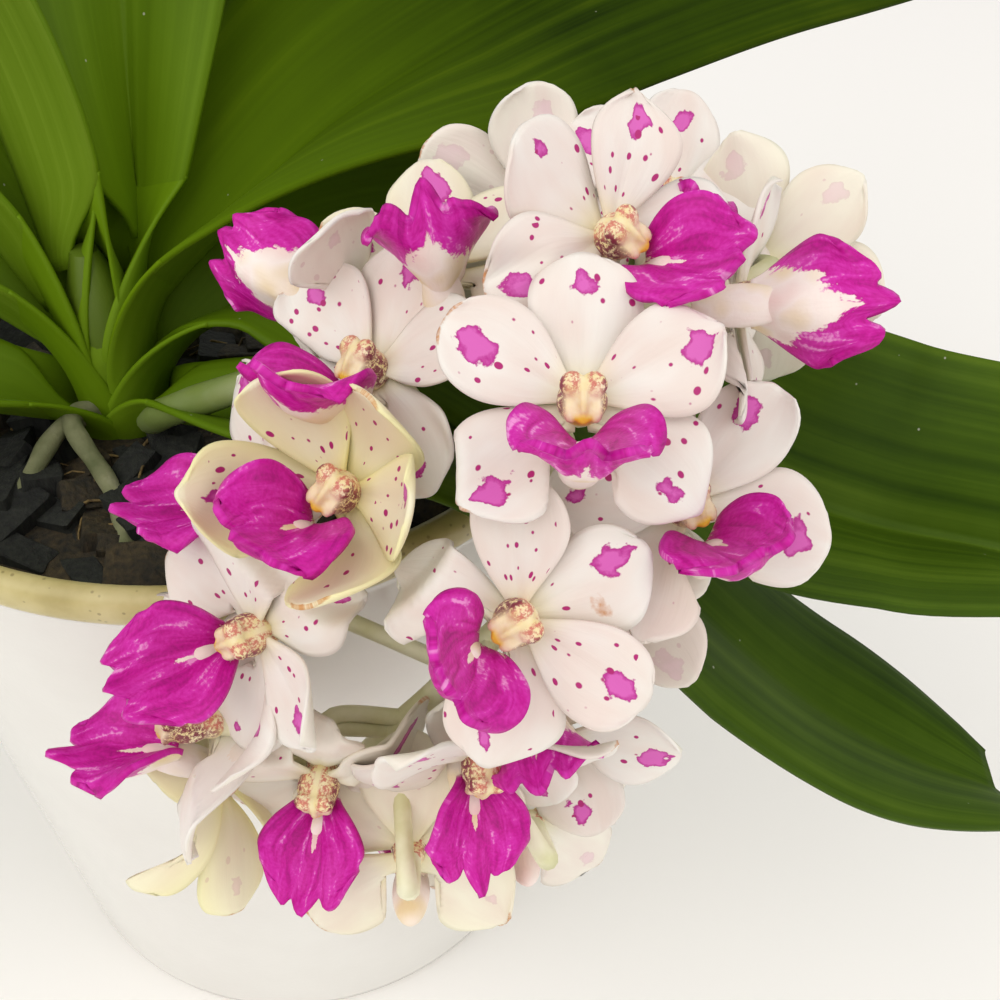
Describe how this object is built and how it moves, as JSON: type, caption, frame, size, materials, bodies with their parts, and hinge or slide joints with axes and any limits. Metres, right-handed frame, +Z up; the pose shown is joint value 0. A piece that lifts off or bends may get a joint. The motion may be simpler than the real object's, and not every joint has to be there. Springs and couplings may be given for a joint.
{
  "type": "potted foxtail orchid",
  "caption": "Potted orchid: a dense hanging spray of spotted white and magenta flowers over arching strap leaves, in a round glazed pot filled with bark.",
  "frame": {"origin": "centre of the pot's flat bottom", "axes": "+Z up, the flower spray hangs over the pot's front and right, toward -Y and +X"},
  "size_m": [0.3933, 0.2006, 0.2729],
  "materials": {
    "glazed_pot": "satin",
    "fibre_medium": "matte",
    "stem_root": "matte",
    "leaf_blade": "satin",
    "flower_stalk": "satin",
    "petal_flesh": "satin",
    "lip_flesh": "satin"
  },
  "bodies": {
    "root": {"pot": "glazed_pot", "medium": "fibre_medium", "stem_and_roots": "stem_root", "flower_stem": "flower_stalk", "leaf_front_right": "leaf_blade", "leaf_right": "leaf_blade", "leaf_upper_right": "leaf_blade", "leaf_middle": "leaf_blade", "leaf_low_left": "leaf_blade", "leaf_left": "leaf_blade", "leaf_middle_left": "leaf_blade", "leaf_upper_left": "leaf_blade", "bloom_top_right_petals": "petal_flesh", "bloom_top_right_lip": "lip_flesh", "bloom_left_cupped_petals": "petal_flesh", "bloom_left_cupped_lip": "lip_flesh", "bloom_upper_back_petals": "petal_flesh", "bloom_upper_back_lip": "lip_flesh", "bloom_front_petals": "petal_flesh", "bloom_front_lip": "lip_flesh", "bloom_upper_front_petals": "petal_flesh", "bloom_upper_front_lip": "lip_flesh", "bloom_right_side_petals": "petal_flesh", "bloom_right_side_lip": "lip_flesh", "bloom_left_side_petals": "petal_flesh", "bloom_left_side_lip": "lip_flesh", "bloom_left_low_petals": "petal_flesh", "bloom_left_low_lip": "lip_flesh", "bloom_lower_front_petals": "petal_flesh", "bloom_lower_front_lip": "lip_flesh", "bloom_left_inner_petals": "petal_flesh", "bloom_left_inner_lip": "lip_flesh", "bloom_top_back_petals": "petal_flesh", "bloom_top_back_lip": "lip_flesh", "bloom_low_back_petals": "petal_flesh", "bloom_low_back_lip": "lip_flesh", "bloom_left_front_petals": "petal_flesh", "bloom_left_front_lip": "lip_flesh", "bloom_right_front_petals": "petal_flesh", "bloom_right_front_lip": "lip_flesh", "bloom_top_left_petals": "petal_flesh", "bloom_top_left_lip": "lip_flesh", "bloom_tip_left_petals": "petal_flesh", "bloom_tip_left_lip": "lip_flesh", "bloom_low_middle_petals": "petal_flesh", "bloom_low_middle_lip": "lip_flesh", "bloom_tip_back_petals": "petal_flesh", "bloom_tip_back_lip": "lip_flesh", "bloom_low_right_petals": "petal_flesh", "bloom_low_right_lip": "lip_flesh", "bloom_low_front_petals": "petal_flesh", "bloom_low_front_lip": "lip_flesh", "bloom_left_back_petals": "petal_flesh", "bloom_left_back_lip": "lip_flesh", "bloom_right_low_petals": "petal_flesh", "bloom_right_low_lip": "lip_flesh"}
  },
  "joints": []
}
